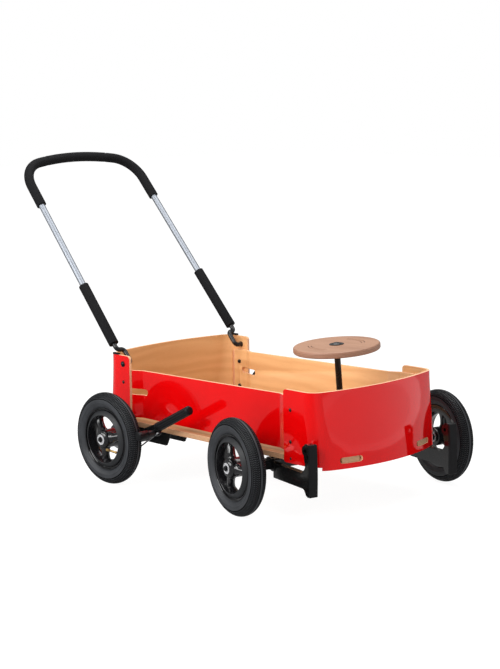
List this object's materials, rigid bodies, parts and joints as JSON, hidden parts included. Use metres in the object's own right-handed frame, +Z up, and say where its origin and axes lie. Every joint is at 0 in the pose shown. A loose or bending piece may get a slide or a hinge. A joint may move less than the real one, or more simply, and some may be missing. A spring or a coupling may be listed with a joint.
{
  "type": "wagon with pull handle",
  "caption": "Children's wooden wagon with a folding handle, a steered front axle turned by a steering wheel, air-filled tyres and a hand brake.",
  "frame": {"origin": "on the ground under the middle of the whole wagon's box, with the handle up and the front axle turned as it stands", "axes": "+X to the wagon's front, +Y to the rider's left, +Z up"},
  "size_m": [1.6671, 0.8832, 1.0726],
  "materials": {
    "red_plywood": "gloss red lacquer outside, clear lacquered birch inside and on the cut edges",
    "clear_plywood": "clear lacquered birch plywood",
    "black_fastener": "black zinc",
    "black_steel": "black powder coat",
    "plain_steel": "bright zinc",
    "black_nylon": "black nylon",
    "black_casting": "gloss black coat on cast aluminium",
    "black_rubber": "moulded",
    "bright_aluminium": "satin anodised",
    "black_foam": "fine cell foam",
    "tyre_rubber": "moulded tread",
    "tube_rubber": "butyl",
    "rim_plastic": "moulded black",
    "bearing_steel": "ground"
  },
  "bodies": {
    "wagon_tub": {"front_panel": "red_plywood", "rear_panel": "red_plywood", "side_panel_right": "red_plywood", "side_panel_left": "red_plywood", "floor_board": "clear_plywood", "panel_bolts": "black_fastener", "floor_screws": "black_fastener", "rear_axle_beam": "black_steel", "rear_axle_end_bolts": "black_fastener", "rear_hanger_right": "black_steel", "rear_hanger_left": "black_steel", "floor_bolts": "black_fastener", "turntable_upper_plate": "black_steel", "kingpin_bush": "black_nylon", "steering_head": "black_steel", "column_bushes": "black_nylon", "handle_pivot_bushes": "black_nylon", "handle_stop_pads": "black_rubber", "brake_pins": "black_steel"},
    "front_axle": {"front_axle_beam": "black_steel", "turntable_lower_plate": "black_steel", "turntable_wear_ring": "black_nylon", "kingpin": "black_steel", "front_axle_end_bolts": "black_fastener", "foot_bracket_right": "black_casting", "foot_bracket_left": "black_casting", "foot_pad_right": "black_rubber", "foot_pad_left": "black_rubber", "bracket_bolts": "black_fastener"},
    "steering_column": {"steering_column": "black_steel", "steering_wheel": "clear_plywood", "steering_cap": "black_nylon"},
    "wheel_rear_right": {"tyre_rear_right": "tyre_rubber", "inner_tube_rear_right": "tube_rubber", "rim_rear_right": "rim_plastic", "bearings_rear_right": "bearing_steel", "brake_drum": "plain_steel"},
    "wheel_front_right": {"tyre_front_right": "tyre_rubber", "inner_tube_front_right": "tube_rubber", "rim_front_right": "rim_plastic", "bearings_front_right": "bearing_steel"},
    "wheel_rear_left": {"tyre_rear_left": "tyre_rubber", "inner_tube_rear_left": "tube_rubber", "rim_rear_left": "rim_plastic", "bearings_rear_left": "bearing_steel"},
    "wheel_front_left": {"tyre_front_left": "tyre_rubber", "inner_tube_front_left": "tube_rubber", "rim_front_left": "rim_plastic", "bearings_front_left": "bearing_steel"},
    "push_handle": {"handle_tube": "bright_aluminium", "handle_grip_centre": "black_foam", "handle_grip_corners": "black_foam", "handle_leg_sleeves": "black_foam", "handle_crank_right": "black_steel", "handle_crank_left": "black_steel", "handle_pivot_bolts": "black_fastener"},
    "brake_lever": {"brake_lever": "black_steel", "brake_grip": "black_rubber"},
    "brake_rod": {"brake_rod": "plain_steel"},
    "brake_arm": {"brake_arm": "black_steel"}
  },
  "joints": [
    {"name": "steer", "type": "hinge", "parent": "wagon_tub", "child": "front_axle", "pos_m": [0.539, 0, 0.155], "axis": [0, 0, 1], "range_deg": [-7.2, 32.8]},
    {"name": "column_turn", "type": "hinge", "parent": "wagon_tub", "child": "steering_column", "pos_m": [0.539, 0, 0.222], "axis": [-0.0297, -0.0593, 0.9978], "range_deg": [-7.3, 32.9]},
    {"name": "rear_right_wheel_spin", "type": "hinge", "parent": "wagon_tub", "child": "wheel_rear_right", "pos_m": [-0.163, -0.3965, 0.155], "axis": [0, 1, 0], "continuous": true},
    {"name": "rear_left_wheel_spin", "type": "hinge", "parent": "wagon_tub", "child": "wheel_rear_left", "pos_m": [-0.163, 0.3965, 0.155], "axis": [0, 1, 0], "continuous": true},
    {"name": "front_right_wheel_spin", "type": "hinge", "parent": "front_axle", "child": "wheel_front_right", "pos_m": [0.45116, -0.38665, 0.155], "axis": [0.2215, 0.9751, 0], "continuous": true},
    {"name": "front_left_wheel_spin", "type": "hinge", "parent": "front_axle", "child": "wheel_front_left", "pos_m": [0.62684, 0.38665, 0.155], "axis": [0.2215, 0.9751, 0], "continuous": true},
    {"name": "handle_fold", "type": "hinge", "parent": "wagon_tub", "child": "push_handle", "pos_m": [-0.2205, 0, 0.3843], "axis": [0, 1, 0], "range_deg": [0, 121]},
    {"name": "brake_pull", "type": "hinge", "parent": "wagon_tub", "child": "brake_lever", "pos_m": [-0.082, -0.33, 0.1675], "axis": [0, -1, 0], "range_deg": [0, 14]},
    {"name": "brake_rod_swing", "type": "hinge", "parent": "brake_lever", "child": "brake_rod", "pos_m": [0.024, -0.341, 0.19], "axis": [0, -1, 0], "range_deg": [-2.76, 0.1]},
    {"name": "brake_arm_swing", "type": "hinge", "parent": "wagon_tub", "child": "brake_arm", "pos_m": [-0.105, -0.347, 0.142], "axis": [0, -1, 0], "range_deg": [-0.1, 16.62]}
  ],
  "couplings": [
    {"joint": "column_turn", "follows": "steer", "ratio": 1},
    {"joint": "brake_rod_swing", "follows": "brake_pull", "ratio": -0.19},
    {"joint": "brake_arm_swing", "follows": "brake_pull", "ratio": 1.18}
  ]
}
